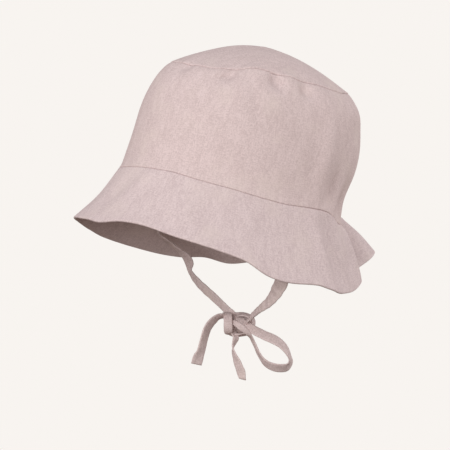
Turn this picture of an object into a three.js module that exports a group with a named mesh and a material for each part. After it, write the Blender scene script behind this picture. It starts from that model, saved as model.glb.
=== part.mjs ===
// A child's soft linen sun hat: an oval tip, a side band, a flared brim that ripples at the nape,
// and two tape ties that are knotted in a half bow under the chin.
// Millimetres, +Z up. The wearer faces -Y, and the wearer's left side is +X.
// The origin is the middle of the seam between crown and brim, where the hat sits on a head.
import * as THREE from "three";

// Driving dimensions
const headLength = 161; // the seam ring, front to nape
const headWidth = 136; // the seam ring, ear to ear
const crownHeight = 80; // from the seam ring up to the edge of the oval tip
const tipLength = 128; // the oval tip, front to back
const tipWidth = 100; // the oval tip, side to side
const tipRise = 23; // the middle of the tip above its edge
const tipSetBack = 2; // how far the tip sits behind the middle of the seam ring
const brimWidth = 52; // cloth of the brim from the seam to its hem, at the ears
const crownWall = 1.2; // cloth of the crown
const brimWall = 1.6; // the brim is sewn of two layers
const seamGap = 0.3; // between pieces that are sewn together
const backFullness = 4.8; // how far the side band puffs out at the back, half way up
const frontFlatness = 2.2; // how far it lies in from an even curve elsewhere
const seamTuck = 2; // how far the band steps in above the brim seam
const tuckHeight = 5; // the height over which it does
const napeWaist = 5; // how far the elastic draws the band in above the nape
const napeHeight = 13; // the elastic's line above the seam ring
const gatherDepth = 1; // the small folds that the elastic gathers at the nape
const hatTilt = THREE.MathUtils.degToRad(14); // the front of the hat is lifted as it is worn
const tapeWidth = 9;
const tapeThickness = 1.4;
const tapeClearance = 0.5; // between the tapes and the cloth that they are sewn to
const tapeSlack = 3; // how far the tapes come off the brim by the time they reach its hem
const knotLength = 21;
const knotHeight = 16;
const knotDepth = 13;
const knotWrap = 1.1; // how far the turns of tape stand out of the knot

// Shapes of the profile, as powers of the share of the way up
const bandRounding = 4.2; // a high power keeps the band upright and turns it in late
const tipRounding = 1.75; // a higher power makes a flatter tip with rounder shoulders
const setBackRounding = 1.5; // a power above 1 starts the crown's lean gently
const puckerReach = 0.25; // how far the tip's puckers run in, as a share of its radius
const napeSpread = 50; // degrees either side of the nape that the elastic draws in
const backSpread = 60; // degrees either side of the nape that the band puffs out
const gatherCount = 24; // the number of folds there would be in a full turn
const normalReach = 0.04; // levels either side of a point over which the cloth's direction is blended
const normalTurn = 1.5; // degrees either side of it

// The hat round the head, a row for each section. Angles run from the front (0) over the wearer's
// left ear (90) and the nape (180) to the right ear (270).
// seamLift and tipLift are shares of crownHeight; flare (outwards) and drop (down) give the hem
// from the seam as shares of brimWidth; curl is how much the brim turns outwards on its way.
const sections = [
  { angle: 0, seamLift: 0.018, tipLift: -0.042, flare: 0.42, drop: 0.755, curl: 0.25 },
  { angle: 9, seamLift: 0.026, tipLift: -0.046, flare: 0.42, drop: 0.785, curl: 0.25 },
  { angle: 20, seamLift: 0.03, tipLift: -0.055, flare: 0.425, drop: 0.735, curl: 0.25 },
  { angle: 30, seamLift: 0.028, tipLift: -0.06, flare: 0.43, drop: 0.73, curl: 0.25 },
  { angle: 42, seamLift: 0.008, tipLift: -0.035, flare: 0.435, drop: 0.745, curl: 0.25 },
  { angle: 60, seamLift: -0.008, tipLift: 0.01, flare: 0.45, drop: 0.785, curl: 0.25 },
  { angle: 72, seamLift: -0.02, tipLift: 0.01, flare: 0.46, drop: 0.82, curl: 0.25 },
  { angle: 82, seamLift: -0.026, tipLift: 0.005, flare: 0.475, drop: 0.925, curl: 0.25 },
  { angle: 91, seamLift: -0.028, tipLift: 0.005, flare: 0.48, drop: 0.945, curl: 0.25 },
  { angle: 106, seamLift: -0.008, tipLift: 0.01, flare: 0.48, drop: 0.925, curl: 0.25 },
  { angle: 113, seamLift: 0, tipLift: 0.01, flare: 0.475, drop: 0.95, curl: 0.25 },
  { angle: 120, seamLift: 0.006, tipLift: 0.015, flare: 0.46, drop: 0.975, curl: 0.25 },
  { angle: 130, seamLift: -0.002, tipLift: 0.02, flare: 0.42, drop: 0.93, curl: 0.25 },
  { angle: 138, seamLift: -0.035, tipLift: 0.025, flare: 0.4, drop: 0.84, curl: 0.15 },
  { angle: 144, seamLift: -0.05, tipLift: 0.04, flare: 0.41, drop: 0.74, curl: 0 },
  { angle: 150, seamLift: -0.045, tipLift: 0.055, flare: 0.4, drop: 0.66, curl: -0.3 },
  { angle: 154, seamLift: -0.03, tipLift: 0.06, flare: 0.29, drop: 0.66, curl: 0.6 },
  { angle: 159, seamLift: 0, tipLift: 0.07, flare: 0.22, drop: 0.68, curl: 1.3 },
  { angle: 165, seamLift: 0.035, tipLift: 0.08, flare: 0.36, drop: 0.62, curl: 1 },
  { angle: 171, seamLift: 0.06, tipLift: 0.085, flare: 0.6, drop: 0.47, curl: 0 },
  { angle: 178, seamLift: 0.065, tipLift: 0.09, flare: 0.755, drop: 0.36, curl: -0.25 },
  { angle: 190, seamLift: 0.06, tipLift: 0.085, flare: 0.74, drop: 0.375, curl: -0.25 },
  { angle: 202, seamLift: 0.03, tipLift: 0.07, flare: 0.66, drop: 0.44, curl: -0.2 },
  { angle: 214, seamLift: 0.005, tipLift: 0.045, flare: 0.52, drop: 0.6, curl: 0.05 },
  { angle: 226, seamLift: 0, tipLift: 0.03, flare: 0.46, drop: 0.72, curl: 0.2 },
  { angle: 236, seamLift: 0.005, tipLift: 0.02, flare: 0.49, drop: 0.825, curl: 0.25 },
  { angle: 247, seamLift: 0.005, tipLift: 0.015, flare: 0.5, drop: 0.81, curl: 0.25 },
  { angle: 258, seamLift: 0, tipLift: 0.01, flare: 0.51, drop: 0.875, curl: 0.25 },
  { angle: 275, seamLift: -0.012, tipLift: 0.005, flare: 0.5, drop: 0.87, curl: 0.25 },
  { angle: 300, seamLift: -0.012, tipLift: 0.01, flare: 0.5, drop: 0.83, curl: 0.25 },
  { angle: 312, seamLift: -0.008, tipLift: 0, flare: 0.48, drop: 0.785, curl: 0.25 },
  { angle: 330, seamLift: 0.008, tipLift: -0.01, flare: 0.45, drop: 0.75, curl: 0.25 },
];

// Puckers where the tip is sewn in, and soft dents in the side band. height is a share of
// crownHeight up the band, with 1 at the tip seam; spread is half the dent's width in degrees and
// tall its half height as a share of crownHeight; depth is a share of headWidth, and a negative
// depth makes a soft bulge.
const dents = [
  { angle: 11, spread: 6, height: 0.98, tall: 0.1, depth: 0.012 },
  { angle: 41, spread: 6, height: 0.97, tall: 0.12, depth: 0.018 },
  { angle: 72, spread: 6, height: 0.96, tall: 0.1, depth: 0.014 },
  { angle: 96, spread: 6, height: 0.95, tall: 0.11, depth: 0.016 },
  { angle: 150, spread: 9, height: 1, tall: 0.12, depth: 0.012 },
  { angle: 205, spread: 9, height: 1, tall: 0.12, depth: 0.014 },
  { angle: 248, spread: 8, height: 1, tall: 0.12, depth: 0.014 },
  { angle: 290, spread: 8, height: 1, tall: 0.12, depth: 0.016 },
  { angle: 325, spread: 8, height: 1, tall: 0.1, depth: 0.012 },
  { angle: 35, spread: 12, height: 0.55, tall: 0.35, depth: 0.006 },
  { angle: 117, spread: 8, height: 0.4, tall: 0.45, depth: -0.006 },
  { angle: 132, spread: 9, height: 0.35, tall: 0.3, depth: 0.01 },
  { angle: 162, spread: 36, height: 0.88, tall: 0.12, depth: -0.02 },
  { angle: 232, spread: 12, height: 0.45, tall: 0.4, depth: 0.01 },
  { angle: 315, spread: 14, height: 0.5, tall: 0.35, depth: 0.008 },
];

// Steps of the cloth
const columns = 96;
const brimRows = 8;
const bandRows = 8;
const tipRows = 6;

// Routes of the tapes below the hem, each point with the way that the tape's face looks and the
// share of its width that the tape keeps there: x, y, z, faceX, faceY, faceZ, width.
const leftTieRoute = [
  [74, -5.5, -30, 1, -0.2, -0.15, 1],
  [77.5, -7.2, -41, 1, -0.3, -0.1, 1],
  [78.6, -7.8, -50.8, 1, -0.3, -0.2, 1],
  [73.6, -8.2, -56.9, 0.8, -0.4, -0.4, 1],
  [66.5, -7.3, -62.5, 0.6, -0.4, -0.7, 0.95],
  [56.5, -5.5, -67, 0.35, -0.3, -0.9, 0.9],
  [46.5, -3.5, -71, 0.2, 0, -0.95, 0.8],
  [29, 1.3, -77.8, 0.2, 0.3, -0.9, 0.75],
  [13.8, 6.2, -82.7, 0.25, 0.3, -0.9, 0.7],
];
const rightTieRoute = [
  [-74, -5.5, -35.5, 0.85, -0.3, -0.5, 1],
  [-68, -2, -46, 0.75, -0.5, -0.45, 1],
  [-61.5, -1.2, -54.2, 0.8, -0.1, -0.6, 0.95],
  [-55, -2.3, -58.6, 0.6, 0.7, -0.4, 0.85],
  [-48.9, -2.4, -61.4, 0.5, 0.6, 0.6, 0.8],
  [-39, -1.7, -65.8, 0.35, -0.45, 0.8, 0.75],
  [-25.5, 0.8, -72.4, 0.4, -0.5, 0.75, 0.75],
  [-9.8, 3.2, -80.6, 0.4, -0.5, 0.75, 0.75],
];
const loopRoute = [
  [9.5, 12.2, -91.3, 0.5, -0.5, 0.7, 0.75],
  [17.1, 16.8, -94.2, 0.5, -0.5, 0.7, 0.8],
  [21.9, 21, -96.6, 0.55, -0.55, 0.6, 0.85],
  [25.6, 25.1, -100.2, 0.7, -0.3, 0.65, 0.8],
  [26.7, 28.4, -104.7, 0.8, 0.3, 0.5, 0.75],
  [26.1, 30.7, -109.7, 0.65, 0.75, 0.1, 0.7],
  [24.5, 31.3, -113.6, 0.5, 0.8, -0.4, 0.75],
  [21.6, 28.8, -116.4, 0.55, 0.1, -0.85, 0.85],
  [17.5, 24.5, -116.5, 0.45, -0.35, -0.85, 0.85],
  [13, 20.8, -114.4, 0.3, -0.6, -0.75, 0.8],
  [9.9, 17.9, -110.2, 0.1, -0.85, -0.5, 0.75],
  [8.3, 15.7, -105.4, 0.2, -0.95, -0.3, 0.7],
  [6.6, 13.5, -99.7, 0.3, -0.95, -0.2, 0.65],
];
const rightEndRoute = [
  [-1.9, -3.6, -82.8, -0.2, 0.1, 0.95, 0.85],
  [-1.7, -7.2, -82.1, 0.1, -0.1, 0.95, 0.85],
  [-0.8, -11.9, -82.5, 0.35, -0.4, 0.85, 0.85],
  [-0.9, -16.5, -85.6, 0.6, -0.6, 0.5, 0.75],
  [-1, -19.5, -89.9, 0.75, -0.6, 0.25, 0.7],
  [-1.6, -21.5, -97.3, 0.8, -0.6, 0.1, 0.75],
  [-1.9, -23.2, -104.7, 0.85, -0.5, 0.05, 0.75],
  [-1.8, -24.6, -113.4, 0.85, -0.5, 0.1, 0.9],
];
const leftEndRoute = [
  [2.1, 1.9, -96.4, 0.8, -0.6, 0.1, 0.7],
  [2.7, 0.3, -99.9, 0.85, -0.5, 0, 0.7],
  [3.3, -1.1, -103.6, 0.6, -0.8, 0, 0.65],
  [4, -0.7, -108.9, 0.75, -0.65, 0.05, 0.7],
  [6.8, 1.3, -114.9, 0.8, -0.6, 0.1, 0.8],
  [8.3, 3.2, -120.9, 0.8, -0.6, 0.1, 0.85],
  [9.1, 3.9, -125.7, 0.8, -0.6, 0.1, 0.75],
];
const knotCentre = new THREE.Vector3(0, 5.5, -88.2);
const knotTurn = THREE.MathUtils.degToRad(61); // the knot's long side, turned from +X about +Z
const stepsPerPoint = 3; // steps of tape between two points of its route

function bell(distance, spread) {
  return Math.exp(-((distance / spread) ** 2));
}

// The signed turn in degrees from one angle to another, between -180 and 180.
function turnBetween(from, to) {
  return ((((to - from) % 360) + 540) % 360) - 180;
}

function fromNape(angle) {
  return turnBetween(180, angle);
}

// A column of the table of sections at any angle, as a smooth curve through its rows.
function sectionValue(name, angle) {
  const count = sections.length;
  const turn = ((angle % 360) + 360) % 360;
  let index = count - 1;
  while (sections[index].angle > turn) index -= 1;
  const row = (offset) => {
    const at = index + offset;
    const source = sections[(at + count) % count];
    return { angle: source.angle + 360 * Math.floor(at / count), value: source[name] };
  };
  const [before, start, end, after] = [row(-1), row(0), row(1), row(2)];
  const span = end.angle - start.angle;
  const share = (turn - start.angle) / span;
  const startSlope = ((end.value - before.value) / (end.angle - before.angle)) * span;
  const endSlope = ((after.value - start.value) / (after.angle - start.angle)) * span;
  const rest = 1 - share;
  return (
    start.value * (1 + 2 * share) * rest * rest +
    startSlope * share * rest * rest +
    end.value * share * share * (3 - 2 * share) -
    endSlope * share * share * rest
  );
}

function ovalRadius(angle, length, width) {
  const turn = THREE.MathUtils.degToRad(angle);
  const halfLength = length / 2;
  const halfWidth = width / 2;
  return (halfLength * halfWidth) / Math.hypot(halfWidth * Math.cos(turn), halfLength * Math.sin(turn));
}

function dentDepth(angle, height) {
  let depth = 0;
  for (const dent of dents) {
    const across = bell(turnBetween(dent.angle, angle), dent.spread);
    depth += headWidth * dent.depth * across * bell(height - dent.height, dent.tall);
  }
  return depth;
}

// Each of the three profiles gives the radius from the hat's axis, the height and the set-back.
function brimProfile(angle, share) {
  const curl = sectionValue("curl", angle);
  const flare = brimWidth * sectionValue("flare", angle);
  const drop = brimWidth * sectionValue("drop", angle);
  return {
    radius: ovalRadius(angle, headLength, headWidth) + flare * share * (1 - curl * (1 - share)),
    height: crownHeight * sectionValue("seamLift", angle) - drop * share * (1 + (curl / 2) * (1 - share)),
    back: 0,
  };
}

function bandProfile(angle, share) {
  const seam = ovalRadius(angle, headLength, headWidth);
  const tip = ovalRadius(angle, tipLength, tipWidth);
  const atBack = bell(fromNape(angle), backSpread);
  const atNape = bell(fromNape(angle), napeSpread);
  const seamHeight = crownHeight * sectionValue("seamLift", angle);
  const tipHeight = crownHeight * (1 + sectionValue("tipLift", angle));
  const waist = bell(share - napeHeight / crownHeight, napeHeight / crownHeight);
  const fold = 0.5 - 0.5 * Math.cos(THREE.MathUtils.degToRad(angle * gatherCount));
  const puff = Math.sin(Math.PI * share) * (backFullness * atBack - frontFlatness);
  const tuck = seamTuck * (1 - atBack) * (1 - Math.exp((-share * crownHeight) / tuckHeight)) * (1 - share);
  const drawnIn = (napeWaist + gatherDepth * fold) * atNape * waist;
  const rounded = seam - (seam - tip) * share ** bandRounding;
  return {
    radius: rounded + puff - tuck - drawnIn - dentDepth(angle, share),
    height: seamHeight * (1 - share) + tipHeight * share,
    back: tipSetBack * share ** setBackRounding,
  };
}

function tipProfile(angle, share) {
  const rest = 1 - share;
  const pucker = dentDepth(angle, 1) * bell(share, puckerReach);
  const lift = crownHeight * sectionValue("tipLift", angle) * rest ** setBackRounding;
  return {
    radius: (ovalRadius(angle, tipLength, tipWidth) - pucker) * rest,
    height: crownHeight + tipRise * (1 - rest ** tipRounding) + lift,
    back: tipSetBack,
  };
}

// A point of the cloth: level runs from -1 at the hem over 0 at the brim seam and 1 at the tip
// seam to 2 at the middle of the tip.
function clothPoint(angle, level) {
  let profile;
  if (level < 0) profile = brimProfile(angle, -level);
  else if (level < 1) profile = bandProfile(angle, level);
  else profile = tipProfile(angle, level - 1);
  const turn = THREE.MathUtils.degToRad(angle);
  return new THREE.Vector3(
    Math.sin(turn) * profile.radius,
    -Math.cos(turn) * profile.radius + profile.back,
    profile.height,
  );
}

// The way out of the cloth. It is blended over a short reach, so that two pieces that meet at a
// seam share it and their edges lie face to face.
function clothNormal(angle, level) {
  const low = Math.max(level - normalReach, -1);
  const high = Math.min(level + normalReach, 2);
  const up = clothPoint(angle, high).sub(clothPoint(angle, low));
  const round = clothPoint(angle + normalTurn, level).sub(clothPoint(angle - normalTurn, level));
  return round.cross(up).normalize();
}

function meshGeometry(points, faces) {
  const geometry = new THREE.BufferGeometry().setFromPoints(points);
  geometry.setIndex(faces);
  geometry.computeVertexNormals();
  return geometry;
}

function addQuad(faces, a, b, c, d) {
  faces.push(a, b, c, a, c, d);
}

// A closed wall of cloth right round the head, from one level up to another.
function ringGeometry(from, to, rows, wall) {
  const points = [];
  const faces = [];
  for (let layer = 0; layer < 2; layer += 1) {
    for (let row = 0; row <= rows; row += 1) {
      const level = from + ((to - from) * row) / rows;
      for (let column = 0; column < columns; column += 1) {
        const angle = (360 * column) / columns;
        points.push(clothPoint(angle, level).addScaledVector(clothNormal(angle, level), -wall * layer));
      }
    }
  }
  const at = (layer, row, column) => (layer * (rows + 1) + row) * columns + (column % columns);
  for (let column = 0; column < columns; column += 1) {
    const next = column + 1;
    for (let row = 0; row < rows; row += 1) {
      const above = row + 1;
      addQuad(faces, at(0, row, column), at(0, row, next), at(0, above, next), at(0, above, column));
      addQuad(faces, at(1, row, next), at(1, row, column), at(1, above, column), at(1, above, next));
    }
    addQuad(faces, at(1, 0, column), at(1, 0, next), at(0, 0, next), at(0, 0, column));
    addQuad(faces, at(0, rows, column), at(0, rows, next), at(1, rows, next), at(1, rows, column));
  }
  return meshGeometry(points, faces);
}

// The oval tip: a closed wall from its edge to a point in its middle, outside and inside.
function domeGeometry(from, rows, wall) {
  const points = [];
  const faces = [];
  for (let layer = 0; layer < 2; layer += 1) {
    for (let row = 0; row < rows; row += 1) {
      const level = from + ((2 - from) * row) / rows;
      for (let column = 0; column < columns; column += 1) {
        const angle = (360 * column) / columns;
        points.push(clothPoint(angle, level).addScaledVector(clothNormal(angle, level), -wall * layer));
      }
    }
  }
  const top = points.length;
  const middle = clothPoint(0, 2);
  points.push(middle, middle.clone().add(new THREE.Vector3(0, 0, -wall)));
  const at = (layer, row, column) => (layer * rows + row) * columns + (column % columns);
  for (let column = 0; column < columns; column += 1) {
    const next = column + 1;
    for (let row = 0; row < rows - 1; row += 1) {
      const above = row + 1;
      addQuad(faces, at(0, row, column), at(0, row, next), at(0, above, next), at(0, above, column));
      addQuad(faces, at(1, row, next), at(1, row, column), at(1, above, column), at(1, above, next));
    }
    addQuad(faces, at(1, 0, column), at(1, 0, next), at(0, 0, next), at(0, 0, column));
    faces.push(at(0, rows - 1, column), at(0, rows - 1, next), top);
    faces.push(at(1, rows - 1, next), at(1, rows - 1, column), top + 1);
  }
  return meshGeometry(points, faces);
}

// A flat tape swept along a route of points, faces and widths.
function tapeGeometry(route) {
  const path = new THREE.CatmullRomCurve3(route.map((row) => new THREE.Vector3(row[0], row[1], row[2])));
  const faceLine = new THREE.CatmullRomCurve3(route.map((row) => new THREE.Vector3(row[3], row[4], row[5])));
  const widthLine = new THREE.CatmullRomCurve3(route.map((row) => new THREE.Vector3(row[6], 0, 0)));
  const steps = stepsPerPoint * (route.length - 1);
  const corner = tapeThickness / 4;
  const flat = tapeThickness / 2;
  const points = [];
  const faces = [];
  for (let step = 0; step <= steps; step += 1) {
    const share = step / steps;
    const centre = path.getPoint(share);
    const along = path.getTangent(share);
    const face = faceLine.getPoint(share);
    face.addScaledVector(along, -face.dot(along)).normalize();
    const side = new THREE.Vector3().crossVectors(along, face);
    const half = (tapeWidth / 2) * widthLine.getPoint(share).x;
    const outline = [
      [half, -flat + corner],
      [half, flat - corner],
      [half - corner, flat],
      [corner - half, flat],
      [-half, flat - corner],
      [-half, corner - flat],
      [corner - half, -flat],
      [half - corner, -flat],
    ];
    for (const [across, out] of outline) {
      points.push(centre.clone().addScaledVector(side, across).addScaledVector(face, out));
    }
  }
  const sides = 8;
  for (let step = 0; step < steps; step += 1) {
    for (let edge = 0; edge < sides; edge += 1) {
      const next = (edge + 1) % sides;
      const low = step * sides;
      const high = low + sides;
      addQuad(faces, low + next, low + edge, high + edge, high + next);
    }
  }
  const last = steps * sides;
  for (let edge = 1; edge < sides - 1; edge += 1) {
    faces.push(0, edge, edge + 1);
    faces.push(last, last + edge + 1, last + edge);
  }
  return meshGeometry(points, faces);
}

// A point of a tie's own route against the inside of the brim, in the frame of the whole hat.
function insideBrim(angle, share) {
  const normal = clothNormal(angle, -share);
  const inset = brimWall + tapeClearance + tapeThickness / 2 + tapeSlack * share;
  const tilt = new THREE.Euler(-hatTilt, 0, 0);
  const point = clothPoint(angle, -share).addScaledVector(normal, -inset).applyEuler(tilt);
  normal.applyEuler(tilt);
  return [point.x, point.y, point.z, normal.x, normal.y, normal.z, 1];
}

// The point of a route moved in or out until it stands just clear of the knot.
function atKnot(row) {
  const out = new THREE.Vector3(row[0], row[1], row[2]).sub(knotCentre);
  const local = out.clone().applyAxisAngle(new THREE.Vector3(0, 0, 1), -knotTurn);
  const toSurface = 0.5 / Math.hypot(local.x / knotLength, local.y / knotDepth, local.z / knotHeight);
  const point = knotCentre.clone().addScaledVector(out, toSurface);
  point.addScaledVector(out.normalize(), tapeClearance);
  return [point.x, point.y, point.z, ...row.slice(3)];
}

// The knot: a rounded body with two turns of tape standing out of it, one upright and one level.
// The turns' places and widths are shares of the knot's half sizes.
function knotGeometry() {
  const around = 20;
  const rings = 10;
  const uprightPlace = -0.45;
  const levelSlant = 0.25;
  const turnWidth = 0.3;
  const points = [];
  const faces = [];
  for (let ring = 1; ring < rings; ring += 1) {
    const rise = (Math.PI * ring) / rings;
    for (let step = 0; step < around; step += 1) {
      const turn = (2 * Math.PI * step) / around;
      const way = new THREE.Vector3(
        Math.sin(rise) * Math.cos(turn),
        Math.sin(rise) * Math.sin(turn),
        -Math.cos(rise),
      );
      const upright = bell(way.x - uprightPlace, turnWidth);
      const level = bell(way.z + levelSlant * way.x, turnWidth);
      const size = new THREE.Vector3(knotLength / 2, knotDepth / 2, knotHeight / 2).subScalar(knotWrap);
      points.push(way.clone().multiply(size).addScaledVector(way, knotWrap * Math.max(upright, level)));
    }
  }
  const bottom = points.length;
  const capHeight = knotHeight / 2 - knotWrap;
  points.push(new THREE.Vector3(0, 0, -capHeight), new THREE.Vector3(0, 0, capHeight));
  const at = (ring, step) => (ring - 1) * around + (step % around);
  for (let step = 0; step < around; step += 1) {
    faces.push(bottom, at(1, step + 1), at(1, step));
    faces.push(bottom + 1, at(rings - 1, step), at(rings - 1, step + 1));
    for (let ring = 1; ring < rings - 1; ring += 1) {
      addQuad(faces, at(ring, step), at(ring, step + 1), at(ring + 1, step + 1), at(ring + 1, step));
    }
  }
  return meshGeometry(points, faces);
}

function linen(color) {
  return new THREE.MeshStandardMaterial({ color, roughness: 0.92, metalness: 0 });
}

function addPiece(group, name, geometry, color) {
  const piece = new THREE.Mesh(geometry, linen(color));
  piece.name = name;
  group.add(piece);
  return piece;
}

const crownShade = 0xd6c4c2;
const brimShade = 0xd4c2c1;
const tapeShade = 0xc4b2b0;

const cloth = new THREE.Group();
cloth.rotation.x = -hatTilt;
const bandEdge = seamGap / 2 / crownHeight;
const tipEdge = seamGap / 2 / (tipWidth / 2);
const brimEdge = seamGap / 2 / brimWidth;
addPiece(cloth, "brim", ringGeometry(-1, -brimEdge, brimRows, brimWall), brimShade);
addPiece(cloth, "crown_band", ringGeometry(bandEdge, 1 - bandEdge, bandRows, crownWall), crownShade);
addPiece(cloth, "crown_tip", domeGeometry(1 + tipEdge, tipRows, crownWall), crownShade);

const hat = new THREE.Group();
hat.add(cloth);
// The tapes start inside the seam at the ears. The right one lies along the brim and slants
// forward on its way out, and the left one soon hangs free.
const leftTop = [insideBrim(90, 0.04), insideBrim(90, 0.2)];
const rightTop = [insideBrim(269, 0.05), insideBrim(270, 0.2), insideBrim(272, 0.36), insideBrim(274, 0.52)];
const leftTie = [...leftTop, ...leftTieRoute, atKnot(leftTieRoute.at(-1))];
const rightTie = [...rightTop, ...rightTieRoute, atKnot(rightTieRoute.at(-1))];
const loop = [atKnot(loopRoute[0]), ...loopRoute.slice(1), atKnot(loopRoute.at(-1))];
const rightEnd = [atKnot(rightEndRoute[0]), ...rightEndRoute.slice(1)];
const leftEnd = [atKnot(leftEndRoute[0]), ...leftEndRoute.slice(1)];
addPiece(hat, "left_tie", tapeGeometry(leftTie), tapeShade);
addPiece(hat, "right_tie", tapeGeometry(rightTie), tapeShade);
addPiece(hat, "bow_loop", tapeGeometry(loop), tapeShade);
addPiece(hat, "right_tie_end", tapeGeometry(rightEnd), tapeShade);
addPiece(hat, "left_tie_end", tapeGeometry(leftEnd), tapeShade);
const knot = addPiece(hat, "bow_knot", knotGeometry(), tapeShade);
knot.position.copy(knotCentre);
knot.rotation.z = knotTurn;

export default hat;
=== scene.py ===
import math

import bpy
import numpy as np
from mathutils import Matrix, Vector


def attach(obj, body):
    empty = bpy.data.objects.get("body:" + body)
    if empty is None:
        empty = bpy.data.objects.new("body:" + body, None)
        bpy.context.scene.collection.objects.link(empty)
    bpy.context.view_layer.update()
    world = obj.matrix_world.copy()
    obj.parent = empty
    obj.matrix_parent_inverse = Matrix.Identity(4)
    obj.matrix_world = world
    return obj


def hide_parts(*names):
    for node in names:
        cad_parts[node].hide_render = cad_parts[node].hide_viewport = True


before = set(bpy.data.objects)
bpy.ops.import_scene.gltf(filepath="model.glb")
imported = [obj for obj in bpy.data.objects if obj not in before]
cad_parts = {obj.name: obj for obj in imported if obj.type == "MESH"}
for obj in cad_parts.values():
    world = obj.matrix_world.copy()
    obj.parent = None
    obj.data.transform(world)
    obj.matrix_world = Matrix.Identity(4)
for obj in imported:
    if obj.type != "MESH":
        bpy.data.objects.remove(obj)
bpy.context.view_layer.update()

# Sizes of the hat
HEAD_LENGTH = 0.161
HEAD_WIDTH = 0.136
CROWN_HEIGHT = 0.080
TIP_LENGTH = 0.128
TIP_WIDTH = 0.100
TIP_RISE = 0.023
TIP_SET_BACK = 0.002
BRIM_WIDTH = 0.052
CROWN_WALL = 0.0012
BRIM_WALL = 0.0016
BACK_FULLNESS = 0.0048
FRONT_FLATNESS = 0.0022
SEAM_TUCK = 0.002
TUCK_HEIGHT = 0.005
NAPE_WAIST = 0.005
NAPE_HEIGHT = 0.013
GATHER_DEPTH = 0.001
HAT_TILT = math.radians(14)
TAPE_WIDTH = 0.009
TAPE_THICKNESS = 0.0011
TAPE_INSET = 0.0012
TAPE_SLACK = 0.003

# Levels of the edges of each piece: 0 is the brim seam, 1 the tip seam and -1 the hem
BRIM_LEVELS = (-1, -0.0004)
BAND_LEVELS = (0.0003, 0.9997)
TIP_LOW = 1.0004

# Shapes of the profile
BAND_ROUNDING = 4.2
TIP_ROUNDING = 1.75
SET_BACK_ROUNDING = 1.5
PUCKER_REACH = 0.25
NAPE_SPREAD = 50
BACK_SPREAD = 60
GATHER_COUNT = 24
NORMAL_REACH = 0.04
NORMAL_TURN = 1.5

# angle, seam lift, tip lift, flare, drop, curl: the hat round the head from the front (0) over the
# wearer's left ear (90) and the nape (180); lifts are shares of CROWN_HEIGHT, flare and drop of
# BRIM_WIDTH
SECTIONS = np.array([
    (0, 0.018, -0.042, 0.42, 0.755, 0.25),
    (9, 0.026, -0.046, 0.42, 0.785, 0.25),
    (20, 0.03, -0.055, 0.425, 0.735, 0.25),
    (30, 0.028, -0.06, 0.43, 0.73, 0.25),
    (42, 0.008, -0.035, 0.435, 0.745, 0.25),
    (60, -0.008, 0.01, 0.45, 0.785, 0.25),
    (72, -0.02, 0.01, 0.46, 0.82, 0.25),
    (82, -0.026, 0.005, 0.475, 0.925, 0.25),
    (91, -0.028, 0.005, 0.48, 0.945, 0.25),
    (106, -0.008, 0.01, 0.48, 0.925, 0.25),
    (113, 0, 0.01, 0.475, 0.95, 0.25),
    (120, 0.006, 0.015, 0.46, 0.975, 0.25),
    (130, -0.002, 0.02, 0.42, 0.93, 0.25),
    (138, -0.035, 0.025, 0.4, 0.84, 0.15),
    (144, -0.05, 0.04, 0.41, 0.74, 0),
    (150, -0.045, 0.055, 0.4, 0.66, -0.3),
    (154, -0.03, 0.06, 0.29, 0.66, 0.6),
    (159, 0, 0.07, 0.22, 0.68, 1.3),
    (165, 0.035, 0.08, 0.36, 0.62, 1),
    (171, 0.06, 0.085, 0.6, 0.47, 0),
    (178, 0.065, 0.09, 0.755, 0.36, -0.25),
    (190, 0.06, 0.085, 0.74, 0.375, -0.25),
    (202, 0.03, 0.07, 0.66, 0.44, -0.2),
    (214, 0.005, 0.045, 0.52, 0.6, 0.05),
    (226, 0, 0.03, 0.46, 0.72, 0.2),
    (236, 0.005, 0.02, 0.49, 0.825, 0.25),
    (247, 0.005, 0.015, 0.5, 0.81, 0.25),
    (258, 0, 0.01, 0.51, 0.875, 0.25),
    (275, -0.012, 0.005, 0.5, 0.87, 0.25),
    (300, -0.012, 0.01, 0.5, 0.83, 0.25),
    (312, -0.008, 0, 0.48, 0.785, 0.25),
    (330, 0.008, -0.01, 0.45, 0.75, 0.25),
])
SEAM_LIFT, TIP_LIFT, FLARE, DROP, CURL = range(1, 6)

# angle, spread, height, tall, depth: puckers at the tip seam and dents in the band; depth is a
# share of HEAD_WIDTH
DENTS = [
    (11, 6, 0.98, 0.1, 0.012),
    (41, 6, 0.97, 0.12, 0.018),
    (72, 6, 0.96, 0.1, 0.014),
    (96, 6, 0.95, 0.11, 0.016),
    (150, 9, 1, 0.12, 0.012),
    (205, 9, 1, 0.12, 0.014),
    (248, 8, 1, 0.12, 0.014),
    (290, 8, 1, 0.12, 0.016),
    (325, 8, 1, 0.1, 0.012),
    (35, 12, 0.55, 0.35, 0.006),
    (117, 8, 0.4, 0.45, -0.006),
    (132, 9, 0.35, 0.3, 0.01),
    (162, 36, 0.88, 0.12, -0.02),
    (232, 12, 0.45, 0.4, 0.01),
    (315, 14, 0.5, 0.35, 0.008),
]

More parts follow.
